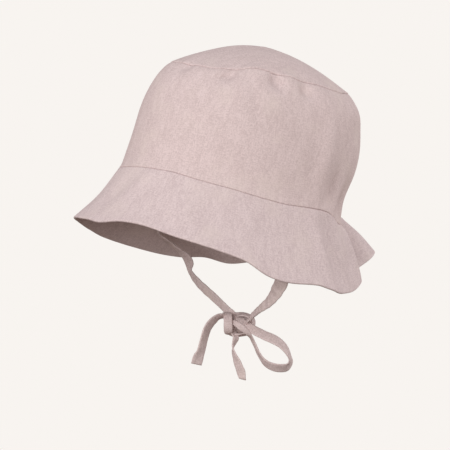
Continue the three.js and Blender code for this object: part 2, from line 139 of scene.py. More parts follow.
# Fine wrinkles, puckers and folds: angle, spread in degrees, level, height in levels, lean in
# degrees for each level, and lift in metres
WRINKLES = [
    (11.5, 4, 0.97, 0.05, 0, -0.0015),
    (35, 5, 0.97, 0.06, 0, 0.0009),
    (41, 4, 0.93, 0.05, 20, -0.0018),
    (54, 5, 1.02, 0.06, 0, 0.0011),
    (73, 5.5, 0.93, 0.07, -20, -0.0024),
    (83.5, 5, 0.98, 0.07, 0, 0.0011),
    (97, 5, 0.92, 0.05, 20, -0.0022),
    (110, 6, 0.86, 0.12, 0, 0.0014),
    (62, 4, 0.72, 0.2, -30, -0.0009),
    (47, 5, 0.75, 0.2, 0, -0.0005),
    (88, 5, 0.42, 0.12, 20, -0.0006),
    (115, 5, 0.4, 0.45, 0, 0.0018),
    (128, 3.5, 0.22, 0.2, 10, -0.0018),
    (135, 3, 0.15, 0.18, 10, 0.001),
    (142, 3, 0.15, 0.16, 10, -0.0012),
    (149, 3, 0.12, 0.16, 0, 0.0008),
    (114, 4, -0.5, 0.45, -6, 0.0022),
    (124, 6, -0.5, 0.45, -6, -0.0026),
    (138, 5, -0.3, 0.3, 0, 0.001),
    (5, 5, -0.4, 0.35, 10, -0.0012),
    (13, 5, -0.4, 0.35, 10, 0.0009),
    (40, 6, -0.5, 0.4, -20, 0.0006),
    (75, 5, -0.5, 0.35, -20, 0.0006),
    (95, 5, -0.45, 0.35, -20, -0.0006),
]

# How near a seam the relief fades, and the groove of the tip's seam, both in levels but for the
# groove's depth
SEAM_REACH = 0.06
SEAM_SPREAD = 0.02
SEAM_GROOVE = 0.0003

# Soft unevenness of the cloth: its height, and for each piece a seed, the most crests round the
# hat, the most crests in a level and the count of waves. The relief of the tip fades to nothing in
# its middle, over the last 1 / TIP_FADE levels.
UNEVEN_LIFT = 0.0004
BAND_WAVES = (3, 14, 2.5, 18)
TIP_WAVES = (5, 10, 1.5, 14)
BRIM_WAVES = (7, 16, 1.5, 18)
TIP_FADE = 3

# Camera, at the photograph's angle
CAMERA_AZIMUTH = math.radians(61)
CAMERA_ELEVATION = math.radians(4)
CAMERA_DISTANCE = 1.2
CAMERA_LENS = 142.08
CAMERA_SENSOR = 36
CAMERA_NEAR = 0.05
CAMERA_FAR = 30
CAMERA_LEFT = 0.00473
CAMERA_DOWN = 0.02014

BACK = Vector((
    math.sin(CAMERA_AZIMUTH) * math.cos(CAMERA_ELEVATION),
    -math.cos(CAMERA_AZIMUTH) * math.cos(CAMERA_ELEVATION),
    math.sin(CAMERA_ELEVATION),
))
RIGHT = Vector((math.cos(CAMERA_AZIMUTH), math.sin(CAMERA_AZIMUTH), 0))
UP = BACK.cross(RIGHT)
CAMERA_TURN = Matrix((RIGHT, UP, BACK)).transposed()
KNOT_TURN = Matrix((RIGHT, -BACK, UP)).transposed()

# Routes of the tapes below the hem, in millimetres: x, y, z, the degrees that the tape's face is
# turned about its own line from facing the camera, and the share of its width that it keeps there
MM = 0.001
LEFT_TIE = [
    (73.9, -5.4, -30, 0, 1),
    (77.3, -7.1, -41, 0, 1),
    (78.8, -7.9, -50.8, 8, 1),
    (73.6, -7.8, -56.8, 22, 0.98),
    (66.4, -7, -62.3, 36, 0.92),
    (56.3, -5.4, -67.5, 46, 0.82),
    (45.8, -4.2, -71.9, 53, 0.68),
    (28.6, 1.2, -77.5, 56, 0.55),
    (13.6, 6.5, -82.4, 56, 0.5),
]
RIGHT_TIE = [
    (-73.5, -18.9, -28, 80, 1),
    (-68.2, -12.5, -36.2, 80, 1),
    (-63.6, -7.1, -42.1, 72, 1.05),
    (-60.5, -3.1, -46.6, 60, 1.2),
    (-59.2, -1.4, -50.8, 56, 1.15),
    (-58.2, -1.2, -54.4, 62, 1),
    (-55.5, -2, -57.6, 70, 0.82),
    (-49, -2.1, -61.4, 58, 0.9),
    (-39.2, -1.6, -65.9, 48, 0.88),
    (-25.8, 1, -72.6, 47, 0.88),
    (-10, 3.4, -80.6, 47, 0.85),
]
LOOP = [
    (9.5, 12.2, -91.6, -32, 0.75),
    (16.8, 16.6, -94.8, -33, 0.8),
    (21.6, 20.8, -97.2, -34, 0.8),
    (25.2, 24.8, -100.7, -47, 0.8),
    (26.3, 28.1, -105.1, -60, 0.75),
    (25.7, 30.6, -109.7, -74, 0.7),
    (24.1, 31.2, -113.8, -60, 0.8),
    (21.8, 28.7, -116.7, -45, 0.9),
    (17.2, 24.4, -117, -45, 0.9),
    (12.5, 20.5, -115, -52, 0.8),
    (9.3, 17.4, -110.6, -66, 0.7),
    (7.8, 15.3, -105.7, -68, 0.6),
    (6.2, 13.3, -100, -68, 0.55),
]
RIGHT_END = [
    (-2.2, -3.4, -82.8, -55, 0.5),
    (-1.9, -7.1, -82.2, -55, 0.65),
    (-0.8, -11.3, -83.1, -56, 0.9),
    (-0.7, -15.7, -86, -56, 1),
    (-0.9, -18.8, -90.3, -57, 1),
    (-1.5, -20.9, -97.3, -57, 1),
    (-2, -22.8, -104.7, -54, 1),
    (-2.6, -24.6, -109.1, -38, 1),
    (-3, -25.9, -113.8, -30, 0.92),
]
LEFT_END = [
    (1.9, 2, -96.4, -45, 0.65),
    (2.5, 0.4, -99.9, -62, 0.62),
    (3.1, -0.9, -103.2, -84, 0.62),
    (3.6, -0.6, -106.9, -112, 0.65),
    (6, 0.7, -112.9, -135, 0.72),
    (7.5, 2.6, -119, -143, 0.8),
    (8.5, 3.5, -124.6, -145, 0.6),
]

# Where the ties lie inside the brim: angle and share of the brim's width
LEFT_TOP = [(90, 0.04), (90, 0.2)]
RIGHT_TOP = [(269, 0.05), (270, 0.2)]

# The knot, in millimetres, and its core: half its width, depth and height, its place from the
# knot's centre, its rings and the steps round each, and its lumps, with how many of them stand
# round it and up it (from the first number to below the second) and how far they swell it
KNOT_CENTRE = Vector((0, 5.5, -88.2))
KNOT_CORE = (7.8, 3.2, 6.6)
KNOT_CORE_PLACE = Vector((0.6, 4.4, 0.2))
KNOT_RINGS = 16
KNOT_STEPS = 28
KNOT_LUMPS = 5
LUMPS_ROUND = (2, 6)
LUMPS_UP = (1, 5)
KNOT_SWELL = 0.06
KNOT_SEED = 21

# The tapes inside the knot, in millimetres from its centre: right, away and up as the camera
# sees it, the way the tape's face looks in the same terms, and the share of its width
LEFT_INTO_LOOP = [
    (6.6, -8, 3.8, -0.4, -0.6, 0.6, 0.45),
    (5, -4.6, 1.8, -0.2, -0.7, 0.6, 0.4),
    (2, 0.5, -0.5, 0, -0.7, 0.5, 0.45),
    (-4, 4.5, 1.5, 0, 0.9, 0.3, 0.6),
    (-8, 3.4, 6.8, 0, 0.5, 0.9, 0.65),
    (-8, -2, 7.6, 0, -0.3, 0.9, 0.65),
    (-7.6, -6.4, 4, 0, -1, 0.3, 0.66),
    (-7.4, -7, -1.4, 0, -1, -0.1, 0.66),
    (-7.2, -4, -5.4, 0, -0.6, -0.8, 0.6),
    (-4.6, 0.5, -3.4, 0, -0.9, 0.2, 0.5),
    (-2.6, 0, 1.6, 0.2, -0.9, 0.4, 0.45),
    (0.4, -2.6, 3.4, 0.3, -0.8, 0.5, 0.45),
    (4, -4.2, 1, 0.35, -0.8, 0.45, 0.55),
    (7.6, -4.8, -1.6, 0.3, -0.8, 0.5, 0.65),
]
LEFT_OUT_OF_LOOP = [
    (7.4, -4.4, -7.6, -0.6, -0.7, -0.4, 0.45),
    (4.6, -6.6, -4.4, -0.3, -0.9, -0.2, 0.45),
    (0.6, -7.2, -1, 0, -1, 0, 0.5),
    (-3.4, -5.6, 1.6, 0.1, -0.9, 0.3, 0.42),
    (-6, -2, 1, 0.3, -0.9, 0, 0.4),
    (-6, 0.6, -2, 0.5, -0.8, -0.1, 0.45),
    (-3.8, -1.4, -5.2, 0.7, -0.7, 0, 0.6),
]
RIGHT_ROUND_KNOT = [
    (-3.6, 4.6, 6, -0.3, -0.6, 0.5, 0.6),
    (2, 2.4, 6.8, 0.1, -0.4, 0.9, 0.65),
    (7, 0.8, 5.6, 0.6, -0.4, 0.8, 0.7),
    (9.6, 0, 2.4, 1, -0.4, 0.2, 0.75),
    (9.4, 0, -2.4, 1, -0.3, -0.3, 0.75),
    (6.4, 0.4, -6, 0.6, -0.3, -0.8, 0.75),
    (1.5, 0.6, -7.2, 0, -0.3, -1, 0.75),
    (-5, 0.4, -7, -0.3, -0.3, -1, 0.75),
    (-9, 1, -4, -0.9, -0.3, -0.5, 0.7),
    (-9.6, 2.6, 0.4, -1, 0, 0, 0.6),
    (-8.6, 1.6, 3.6, -0.7, -0.6, 0.2, 0.5),
]

# Linen: light threads, dark threads and warm patches of each piece
CROWN_COLOURS = ((0.74, 0.6, 0.585, 1), (0.6, 0.475, 0.46, 1), (0.74, 0.62, 0.57, 1))
BRIM_COLOURS = ((0.73, 0.6, 0.59, 1), (0.59, 0.47, 0.465, 1), (0.72, 0.6, 0.56, 1))
TAPE_COLOURS = ((0.76, 0.63, 0.615, 1), (0.6, 0.48, 0.465, 1), (0.74, 0.62, 0.56, 1))

# Weave: the pitch of the threads, how fine each part of its noise is in that pitch, how many times
# longer it is along than across, its share in the mix, and the range of noise from dark to light.
# Then the warmer patches, the bumps of the threads and how matt the cloth is.
THREAD_PITCH = 0.0006
THREAD_SCALE = 0.8
THREAD_STRETCH = 5
SPECKLE_SCALE = 0.65
SPECKLE_SHARE = 0.45
SLUB_SCALE = 0.25
SLUB_STRETCH = 4
MOTTLE_SCALE = 0.07
MOTTLE_STRETCH = 2.5
MOTTLE_SHARE = 0.45
SOFT_SHARE = 0.25
GRAIN_RANGE = (0.43, 0.57)
PATCH_SCALE = 45
PATCH_RANGE = (0.5, 0.75)
PATCH_SHARE = 0.45
BUMP_HEIGHT = 0.00025
BUMP_STRENGTH = 0.8
ROUGHNESS = 0.95
GLOSS = 0.15

# Lamps: name, degrees round the hat, degrees above level, distance, size and watts
LIGHTS = [
    ("key", 41, 16, 2.0, 1.2, 21),
    ("fill", 173, 6, 2.0, 1.2, 13),
]

# Light from around: share of the way from straight below (0) over eye level (0.5) to straight
# above (1), and colour there
WORLD_LIGHT = [
    (0.1, (0.12, 0.085, 0.065, 1)),
    (0.4, (0.42, 0.35, 0.31, 1)),
    (0.5, (1, 1, 1, 1)),
    (0.65, (1, 1, 1, 1)),
    (0.88, (0.55, 0.55, 0.57, 1)),
]
WORLD_STRENGTH = 0.84

# Pale floor: its height, radius, the curve up to its wall with the turn of its first row in
# radians and its count of rows, the wall's top, the columns of all rows and the colour
FLOOR_HEIGHT = -0.32
FLOOR_RADIUS = 1.6
FLOOR_CURVE = 1.2
FLOOR_FIRST_TURN = 0.2
FLOOR_ROWS = 8
WALL_TOP = 3.2
FLOOR_COLUMNS = 64
FLOOR_COLOUR = (0.939, 0.905, 0.871, 1)

# Columns of the meshes round the hat, their steps in metres, and the steps of a smooth line between
# two rows of its route
BAND_COLUMNS = 480
BAND_STEP = 0.0011
BRIM_COLUMNS = 600
BRIM_STEP = 0.0011
TIP_COLUMNS = 480
TIP_STEP = 0.0014
TAPE_STEP = 0.0011
CURVE_STEPS = 24

# Soft edges of the tapes: waves along them, their height, their shortest and longest length, a seed
# for each tape, the range of any wave's start in radians, and how far the cut of the left end slants
RIPPLES = 3
RIPPLE_LIFT = 0.00012
RIPPLE_LENGTHS = (0.006, 0.02)
LEFT_SEED = 11
RIGHT_SEED = 12
WAVE_STARTS = (0, 6)
END_SLANT = 0.0008


def bell(distance, spread):
    return np.exp(-(distance / spread) ** 2)


def turn_between(start, end):
    return (end - start + 540) % 360 - 180


def section_value(column, angle):
    """A column of SECTIONS at any angles, as a smooth curve through its rows."""
    count = len(SECTIONS)
    turn = np.asarray(angle, float) % 360
    index = np.searchsorted(SECTIONS[:, 0], turn, side="right") - 1

    def row(offset):
        at = index + offset
        return SECTIONS[at % count, 0] + 360 * (at // count), SECTIONS[at % count, column]

    (before, before_value), (start, start_value) = row(-1), row(0)
    (end, end_value), (after, after_value) = row(1), row(2)
    span = end - start
    share = (turn - start) / span
    rest = 1 - share
    start_slope = (end_value - before_value) / (end - before) * span
    end_slope = (after_value - start_value) / (after - start) * span
    return (
        start_value * (1 + 2 * share) * rest**2
        + start_slope * share * rest**2
        + end_value * share**2 * (3 - 2 * share)
        - end_slope * share**2 * rest
    )


def oval_radius(angle, length, width):
    turn = np.radians(angle)
    half_length, half_width = length / 2, width / 2
    return half_length * half_width / np.hypot(half_width * np.cos(turn), half_length * np.sin(turn))


def dent_depth(angle, height):
    depth = 0
    for at, spread, level, tall, share in DENTS:
        across = bell(turn_between(at, angle), spread)
        depth = depth + HEAD_WIDTH * share * across * bell(height - level, tall)
    return depth


def nape_draw(angle, share):
    """How far the band, and the seam of the brim with it, is drawn in over the nape."""
    waist = bell(share - NAPE_HEIGHT / CROWN_HEIGHT, NAPE_HEIGHT / CROWN_HEIGHT)
    fold = 0.5 - 0.5 * np.cos(np.radians(angle * GATHER_COUNT))
    return (NAPE_WAIST + GATHER_DEPTH * fold) * bell(turn_between(180, angle), NAPE_SPREAD) * waist


def brim_profile(angle, share):
    """Radius from the hat's axis, height and set-back of the brim."""
    curl = section_value(CURL, angle)
    flare = BRIM_WIDTH * section_value(FLARE, angle)
    drop = BRIM_WIDTH * section_value(DROP, angle)
    seam = oval_radius(angle, HEAD_LENGTH, HEAD_WIDTH) - nape_draw(angle, 0) * bell(share, SEAM_REACH)
    radius = seam + flare * share * (1 - curl * (1 - share))
    height = CROWN_HEIGHT * section_value(SEAM_LIFT, angle)
    return radius, height - drop * share * (1 + curl / 2 * (1 - share)), 0 * share


def band_profile(angle, share):
    seam = oval_radius(angle, HEAD_LENGTH, HEAD_WIDTH)
    tip = oval_radius(angle, TIP_LENGTH, TIP_WIDTH)
    at_back = bell(turn_between(180, angle), BACK_SPREAD)
    puff = np.sin(math.pi * share) * (BACK_FULLNESS * at_back - FRONT_FLATNESS)
    tuck = SEAM_TUCK * (1 - at_back) * (1 - np.exp(-share * CROWN_HEIGHT / TUCK_HEIGHT)) * (1 - share)
    rounded = seam - (seam - tip) * share**BAND_ROUNDING
    radius = rounded + puff - tuck - nape_draw(angle, share) - dent_depth(angle, share)
    low = CROWN_HEIGHT * section_value(SEAM_LIFT, angle)
    high = CROWN_HEIGHT * (1 + section_value(TIP_LIFT, angle))
    return radius, low * (1 - share) + high * share, TIP_SET_BACK * share**SET_BACK_ROUNDING


def tip_profile(angle, share):
    rest = 1 - share
    pucker = dent_depth(angle, 1) * bell(share, PUCKER_REACH)
    lift = CROWN_HEIGHT * section_value(TIP_LIFT, angle) * rest**SET_BACK_ROUNDING
    radius = (oval_radius(angle, TIP_LENGTH, TIP_WIDTH) - pucker) * rest
    return radius, CROWN_HEIGHT + TIP_RISE * (1 - rest**TIP_ROUNDING) + lift, TIP_SET_BACK + 0 * share


def cloth_point(angle, level):
    """Points of the cloth: level runs from -1 at the hem over 0 at the brim seam and 1 at the tip
    seam to 2 at the middle of the tip."""
    profiles = (
        brim_profile(angle, np.clip(-level, 0, 1)),
        band_profile(angle, np.clip(level, 0, 1)),
        tip_profile(angle, np.clip(level - 1, 0, 1)),
    )
    radius, height, back = (
        np.where(level < 0, brim, np.where(level < 1, band, tip)) for brim, band, tip in zip(*profiles)
    )
    turn = np.radians(angle)
    return np.stack([np.sin(turn) * radius, back - np.cos(turn) * radius, height], axis=-1)


def cloth_normal(angle, level):
    low = np.maximum(level - NORMAL_REACH, -1)
    high = np.minimum(level + NORMAL_REACH, 2)
    up = cloth_point(angle, high) - cloth_point(angle, low)
    around = cloth_point(angle + NORMAL_TURN, level) - cloth_point(angle - NORMAL_TURN, level)
    normal = np.cross(around, up)
    return normal / np.linalg.norm(normal, axis=-1, keepdims=True)


def tilted(points):
    """From the hat's own frame to the worn one, whose front is lifted."""
    x, y, z = points[..., 0], points[..., 1], points[..., 2]
    cos, sin = math.cos(HAT_TILT), math.sin(HAT_TILT)
    return np.stack([x, y * cos + z * sin, z * cos - y * sin], axis=-1)


def waves(angle, level, seed, rounds, lift, count):
    """Soft unevenness from -1 to 1: count waves with up to rounds crests round the hat and up to
    lift crests for each level."""
    chance = np.random.default_rng(seed)
    total = np.zeros(np.broadcast(angle, level).shape)
    for _ in range(count):
        turns = chance.integers(1, rounds + 1)
        rise = chance.uniform(-lift, lift)
        start = chance.uniform(0, 2 * math.pi)
        total += np.cos(np.radians(angle) * turns + 2 * math.pi * rise * level + start)
    return total / math.sqrt(count) / 2


def new_mesh(name, points, faces, uvs=None):
    mesh = bpy.data.meshes.new(name)
    mesh.from_pydata([tuple(p) for p in points], [], faces)
    if uvs is not None:
        layer = mesh.uv_layers.new(name="cloth")
        layer.data.foreach_set("uv", np.asarray(uvs, np.float32).ravel())
    mesh.polygons.foreach_set("use_smooth", [True] * len(mesh.polygons))
    mesh.update()
    piece = bpy.data.objects.new(name, mesh)
    bpy.context.scene.collection.objects.link(piece)
    return piece


def outline_of_wall(low, high, length, wall, step):
    """The section of a wall of cloth as a closed row of (level, depth): up the outside, round the
    top edge, down the inside and round the bottom edge."""
    edge = wall / 2 / length * (high - low)
    rows = max(2, round(length / step))
    rise = np.linspace(low + edge, high - edge, rows)
    turns = np.radians([30, 60, 90, 120, 150])
    arc_depth = wall / 2 * (1 - np.cos(turns))
    arc_level = edge * np.sin(turns)
    level = np.concatenate([rise, high - edge + arc_level, rise[::-1], low + edge - arc_level])
    depth = np.concatenate([0 * rise, arc_depth, wall + 0 * rise, arc_depth[::-1]])
    return level, depth


def ring_piece(name, low, high, length, wall, step, columns, relief):
    """A closed wall of cloth right round the head."""
    level, depth = outline_of_wall(low, high, length, wall, step)
    angle = np.arange(columns) * 360 / columns
    levels, angles = level[:, None] + 0 * angle, angle + 0 * level[:, None]
    out = relief(angles, levels) - depth[:, None]
    points = tilted(cloth_point(angles, levels) + cloth_normal(angles, levels) * out[..., None])
    rows = len(level)
    row, column = np.meshgrid(np.arange(rows), np.arange(columns), indexing="ij")
    above, beside = (row + 1) % rows, (column + 1) % columns
    corners = [
        row * columns + column,
        row * columns + beside,
        above * columns + beside,
        above * columns + column,
    ]
    faces = np.stack(corners, axis=-1).reshape(-1, 4)
    across = (HEAD_LENGTH + HEAD_WIDTH) / 2 * math.pi / columns
    up = length / (high - low) * level
    u = np.stack([column, column + 1, column + 1, column], axis=-1) * across
    v = np.stack([up[row], up[row], up[above], up[above]], axis=-1)
    uvs = np.stack([u, v], axis=-1).reshape(-1, 2)
    return new_mesh(name, points.reshape(-1, 3), faces.tolist(), uvs)


def tip_piece(name, low, relief):
    """The oval tip: from the middle of its inside out to the edge, round it and back over the top."""
    length = TIP_WIDTH / 2
    level, depth = outline_of_wall(low, 2, length, CROWN_WALL, TIP_STEP)
    rows = max(2, round(length / TIP_STEP))
    arc = (len(level) - 2 * rows) // 2
    order = np.concatenate([np.arange(rows + arc + 1, len(level)), np.arange(rows - 1)])
    level, depth = level[order], depth[order]
    angle = np.arange(TIP_COLUMNS) * 360 / TIP_COLUMNS
    levels, angles = level[:, None] + 0 * angle, angle + 0 * level[:, None]
    out = relief(angles, levels) - depth[:, None]
    rings = cloth_point(angles, levels) + cloth_normal(angles, levels) * out[..., None]
    top = cloth_point(np.array([0.0]), np.array([2.0]))[0] + (0, 0, relief(0.0, 2.0))
    plan = np.concatenate([rings.reshape(-1, 3), [top - (0, 0, CROWN_WALL)], [top]])
    points = tilted(plan)
    rows = len(level)
    row, column = np.meshgrid(np.arange(rows - 1), np.arange(TIP_COLUMNS), indexing="ij")
    beside = (column + 1) % TIP_COLUMNS
    corners = [
        row * TIP_COLUMNS + column,
        row * TIP_COLUMNS + beside,
        (row + 1) * TIP_COLUMNS + beside,
        (row + 1) * TIP_COLUMNS + column,
    ]
    faces = np.stack(corners, axis=-1).reshape(-1, 4).tolist()
    under, over = len(points) - 2, len(points) - 1
    last = (rows - 1) * TIP_COLUMNS
    for at in range(TIP_COLUMNS):
        beside = (at + 1) % TIP_COLUMNS
        faces.append([under, beside, at])
        faces.append([last + at, last + beside, over])
    uvs = [plan[corner, :2] for face in faces for corner in face]
    return new_mesh(name, points, faces, uvs)


def curve_points(rows, step):
    """A smooth line through rows of numbers, whose first three are a place, every step metres."""
    rows = np.asarray(rows, float)
    padded = np.concatenate([[2 * rows[0] - rows[1]], rows, [2 * rows[-1] - rows[-2]]])
    fine = []
    for at in range(1, len(padded) - 2):
        before, start, end, after = padded[at - 1:at + 3]
        share = np.linspace(0, 1, CURVE_STEPS, endpoint=False)[:, None]
        fine.append(0.5 * (
            2 * start
            + (end - before) * share
            + (2 * before - 5 * start + 4 * end - after) * share**2
            + (3 * start - before - 3 * end + after) * share**3
        ))
    fine = np.concatenate(fine + [rows[-1:]])
    run = np.concatenate([[0], np.cumsum(np.linalg.norm(np.diff(fine[:, :3], axis=0), axis=1))])
    stops = np.linspace(0, run[-1], max(4, round(run[-1] / step)))
    return np.stack([np.interp(stops, run, fine[:, column]) for column in range(fine.shape[1])], axis=-1)


def below_hem(rows):
    """Rows of a route below the hem as rows in metres with the way the tape's face looks."""
    places = np.array([row[:3] for row in rows], float)
    along = np.gradient(places, axis=0)
    found = []
    for place, way, (_, _, _, turn, width) in zip(places, along, rows):
        way = Vector(way).normalized()
        towards = (BACK - way * BACK.dot(way)).normalized()
        angle = math.radians(turn)
        face = towards * math.cos(angle) + way.cross(towards) * math.sin(angle)
        found.append((*(place * MM), *face, width))
    return found


def in_knot(rows):
    """Rows of a route inside the knot as rows in the frame."""
    found = []
    for right, away, up, face_right, face_away, face_up, width in rows:
        place = (KNOT_CENTRE + KNOT_TURN @ Vector((right, away, up))) * MM
        face = KNOT_TURN @ Vector((face_right, face_away, face_up))
        found.append((*place, *face, width))
    return found


def inside_brim(angle, share):
    """A point of a tie's route against the inside of the brim."""
    angle, share = np.array(float(angle)), np.array(float(share))
    normal = cloth_normal(angle, -share)
    inset = BRIM_WALL + TAPE_INSET + TAPE_SLACK * share
    return (*tilted(cloth_point(angle, -share) - normal * inset), *tilted(normal), 1)


def tape_piece(name, route, seed, slant=0):
    """A flat folded tape along a route, with soft edges. Returns the piece and its centre line."""
    line = curve_points(route, TAPE_STEP)
    centre, face, share = line[:, :3], line[:, 3:6], line[:, 6]
    along = np.gradient(centre, axis=0)
    along /= np.linalg.norm(along, axis=1, keepdims=True)
    face = face - along * np.sum(face * along, axis=1, keepdims=True)
    face /= np.linalg.norm(face, axis=1, keepdims=True)
    side = np.cross(along, face)
    edge = TAPE_THICKNESS / 2
    bulge = np.radians([-90, -45, 0, 45, 90])
    across = np.array([-0.66, -0.33, 0, 0.33, 0.66])
    chance = np.random.default_rng(seed)
    run = np.arange(len(line)) * TAPE_STEP
    ripple = 0 * run
    for _ in range(RIPPLES):
        length = chance.uniform(*RIPPLE_LENGTHS)
        start = chance.uniform(*WAVE_STARTS)
        ripple += RIPPLE_LIFT * np.cos(2 * math.pi * run / length + start)
    rings = []
    for at in range(len(line)):
        half = TAPE_WIDTH / 2 * share[at] - edge + 0.5 * ripple[at]
        shape = [(half + edge * math.cos(b), edge * math.sin(b)) for b in bulge]
        shape += [(half * a, edge) for a in across[::-1]]
        shape += [(-half - edge * math.cos(b), edge * math.sin(b)) for b in bulge[::-1]]
        shape += [(half * a, -edge) for a in across]
        ring = [
            centre[at] + side[at] * x + face[at] * (y + ripple[at] * (1 - (x / (half + edge)) ** 2))
            for x, y in shape
        ]
        if at == len(line) - 1:
            ring = [p + along[at] * slant * x / half for p, (x, y) in zip(ring, shape)]
        rings.append(ring)
    size = len(rings[0])
    points = np.array(rings).reshape(-1, 3)
    faces, uvs = [], []
    girth = 2 * TAPE_WIDTH / size
    for at in range(len(line) - 1):
        for edge_at in range(size):
            beside = (edge_at + 1) % size
            low, high = at * size, (at + 1) * size
            faces.append((low + beside, low + edge_at, high + edge_at, high + beside))
            run_low, run_high = at * TAPE_STEP, (at + 1) * TAPE_STEP
            uvs += [
                ((edge_at + 1) * girth, run_low),
                (edge_at * girth, run_low),
                (edge_at * girth, run_high),
                ((edge_at + 1) * girth, run_high),
            ]
    last = (len(line) - 1) * size
    faces.append(tuple(range(size)))
    faces.append(tuple(last + at for at in reversed(range(size))))
    uvs += [(at * girth, 0) for at in range(size)] + [(at * girth, 0) for at in reversed(range(size))]
    return new_mesh(name, points, faces, uvs), centre


def linen(name, light, dark, warm):
    """Plain-weave linen: uneven threads both ways, slubs, soft mottling and warmer patches."""
    material = bpy.data.materials.new(name)
    material.use_nodes = True
    nodes, links = material.node_tree.nodes, material.node_tree.links
    shader = nodes["Principled BSDF"]
    shader.inputs["Roughness"].default_value = ROUGHNESS
    shader.inputs["Specular IOR Level"].default_value = GLOSS
    where = nodes.new("ShaderNodeUVMap")
    where.uv_map = "cloth"
    place = nodes.new("ShaderNodeNewGeometry")

    def stretched_noise(across, along, detail):
        mapping = nodes.new("ShaderNodeMapping")
        mapping.inputs["Scale"].default_value = (across / THREAD_PITCH, along / THREAD_PITCH, 1)
        links.new(where.outputs["UV"], mapping.inputs["Vector"])
        noise = nodes.new("ShaderNodeTexNoise")
        noise.inputs["Scale"].default_value = 1
        noise.inputs["Detail"].default_value = detail
        links.new(mapping.outputs["Vector"], noise.inputs["Vector"])
        return noise.outputs["Fac"]

    def math_node(operation, first, second):
        node = nodes.new("ShaderNodeMath")
        node.operation = operation
        for socket, value in zip(node.inputs, (first, second)):
            if isinstance(value, (int, float)):
                socket.default_value = value
            else:
                links.new(value, socket)
        return node.outputs[0]

    def mix(factor, first, second):
        node = nodes.new("ShaderNodeMix")
        node.data_type = "RGBA"
        links.new(factor, node.inputs["Factor"])
        for socket, value in ((node.inputs["A"], first), (node.inputs["B"], second)):
            if isinstance(value, tuple):
                socket.default_value = value
            else:
                links.new(value, socket)
        return node.outputs["Result"]

    def ranged(value, low, high):
        node = nodes.new("ShaderNodeMapRange")
        node.inputs["From Min"].default_value = low
        node.inputs["From Max"].default_value = high
        links.new(value, node.inputs["Value"])
        return node.outputs["Result"]

    def blend(first, second, share):
        return math_node("ADD", math_node("MULTIPLY", first, 1 - share), math_node("MULTIPLY", second, share))

    warp = stretched_noise(THREAD_SCALE, THREAD_SCALE / THREAD_STRETCH, 1)
    weft = stretched_noise(THREAD_SCALE / THREAD_STRETCH, THREAD_SCALE, 1)
    speckle = stretched_noise(SPECKLE_SCALE, SPECKLE_SCALE, 2)
    slubs = stretched_noise(SLUB_SCALE, SLUB_SCALE / SLUB_STRETCH, 2)
    mottle = stretched_noise(MOTTLE_SCALE, MOTTLE_SCALE / MOTTLE_STRETCH, 2)
    grain = blend(blend(warp, weft, 0.5), speckle, SPECKLE_SHARE)
    uneven = blend(grain, blend(slubs, mottle, MOTTLE_SHARE), SOFT_SHARE)
    cloth = mix(ranged(uneven, *GRAIN_RANGE), dark, light)
    patches = nodes.new("ShaderNodeTexNoise")
    patches.inputs["Scale"].default_value = PATCH_SCALE
    patches.inputs["Detail"].default_value = 2
    links.new(place.outputs["Position"], patches.inputs["Vector"])
    warmth = math_node("MULTIPLY", ranged(patches.outputs["Fac"], *PATCH_RANGE), PATCH_SHARE)
    cloth = mix(warmth, cloth, warm)
    links.new(cloth, shader.inputs["Base Color"])
    bump = nodes.new("ShaderNodeBump")
    bump.inputs["Distance"].default_value = BUMP_HEIGHT
    bump.inputs["Strength"].default_value = BUMP_STRENGTH
    links.new(grain, bump.inputs["Height"])
    links.new(bump.outputs["Normal"], shader.inputs["Normal"])
    return material


def add_camera():
    data = bpy.data.cameras.new("camera")
    data.lens = CAMERA_LENS
    data.sensor_width = CAMERA_SENSOR
    data.clip_start = CAMERA_NEAR
    data.clip_end = CAMERA_FAR
    camera = bpy.data.objects.new("camera", data)
    place = BACK * CAMERA_DISTANCE - RIGHT * CAMERA_LEFT - UP * CAMERA_DOWN
    camera.matrix_world = Matrix.Translation(place) @ CAMERA_TURN.to_4x4()
    bpy.context.scene.collection.objects.link(camera)
    bpy.context.scene.camera = camera


def add_area_light(name, azimuth, elevation, distance, size, energy):
    data = bpy.data.lights.new(name, "AREA")
    data.size = size
    data.energy = energy
    light = bpy.data.objects.new(name, data)
    turn, rise = math.radians(azimuth), math.radians(elevation)
    back = Vector((math.sin(turn) * math.cos(rise), -math.cos(turn) * math.cos(rise), math.sin(rise)))
    light.location = back * distance
    light.rotation_mode = "QUATERNION"
    light.rotation_quaternion = (-back).to_track_quat("-Z", "Y")
    bpy.context.scene.collection.objects.link(light)


